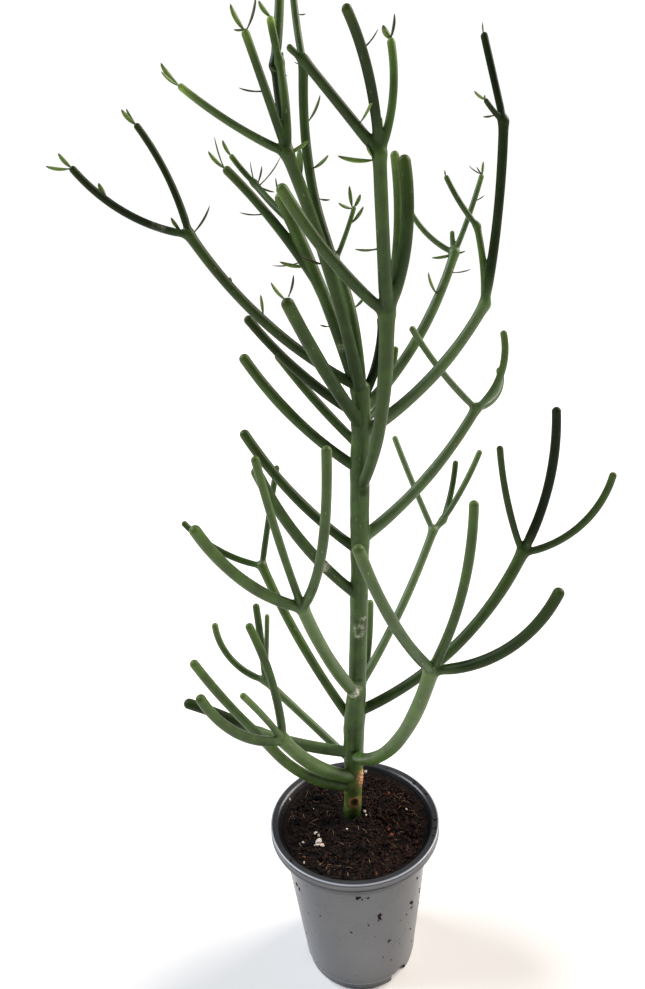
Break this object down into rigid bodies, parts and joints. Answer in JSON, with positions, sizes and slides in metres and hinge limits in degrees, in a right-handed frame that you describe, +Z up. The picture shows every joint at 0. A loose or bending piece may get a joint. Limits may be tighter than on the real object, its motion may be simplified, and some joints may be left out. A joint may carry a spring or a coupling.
{
  "type": "pencil cactus cutting",
  "caption": "Rooted pencil cactus cutting: an upright leafless stem with many forking round green shoots, small leaves at the tips, in a plain nursery pot.",
  "frame": {"origin": "centre of the pot's base, on the surface that the pot stands on", "axes": "+Z up, -Y to the plant's front, +X to the right as seen from the front"},
  "size_m": [0.4355, 0.3628, 0.8993],
  "materials": {
    "green_stem": "waxy deep green skin with fine lengthwise lines and small pale flecks",
    "old_stem": "thicker green stem turning olive and corky low down, with old scars",
    "leaf": "soft satin yellow-green leaf",
    "pot_plastic": "moulded grey polypropylene with a soft sheen",
    "potting_mix": "moist peat and bark crumbs with fibres and perlite"
  },
  "bodies": {
    "root": {"pot": "pot_plastic", "soil": "potting_mix", "main_stem": "old_stem", "back_branch": "green_stem", "crown_back_shoot": "green_stem", "crown_front_shoot": "green_stem", "crown_left_shoot": "green_stem", "crown_right_shoot": "green_stem", "front_leader": "green_stem", "high_back_left_branch": "green_stem", "high_left_branch": "green_stem", "highest_left_branch": "green_stem", "low_back_left_branch": "green_stem", "low_back_right_branch": "green_stem", "low_front_left_branch": "green_stem", "low_front_right_branch": "green_stem", "low_left_branch": "green_stem", "low_right_branch": "green_stem", "lower_left_branch": "green_stem", "lowest_left_branch": "green_stem", "middle_back_left_branch": "green_stem", "middle_front_left_branch": "green_stem", "middle_left_branch": "green_stem", "middle_right_branch": "green_stem", "upper_back_right_branch": "green_stem", "upper_front_left_branch": "green_stem", "upper_left_branch": "green_stem", "upper_right_branch": "green_stem", "upper_right_stub": "green_stem", "leaf_crown_1": "leaf", "leaf_crown_10": "leaf", "leaf_crown_11": "leaf", "leaf_crown_2": "leaf", "leaf_crown_3": "leaf", "leaf_crown_4": "leaf", "leaf_crown_5": "leaf", "leaf_crown_6": "leaf", "leaf_crown_7": "leaf", "leaf_crown_8": "leaf", "leaf_crown_9": "leaf", "leaf_front_left_1": "leaf", "leaf_front_left_2": "leaf", "leaf_high_left_1": "leaf", "leaf_high_left_2": "leaf", "leaf_high_left_3": "leaf", "leaf_high_left_4": "leaf", "leaf_high_left_5": "leaf", "leaf_leader_1": "leaf", "leaf_leader_2": "leaf", "leaf_leader_3": "leaf", "leaf_right_1": "leaf", "leaf_right_2": "leaf", "leaf_right_3": "leaf"}
  },
  "joints": []
}
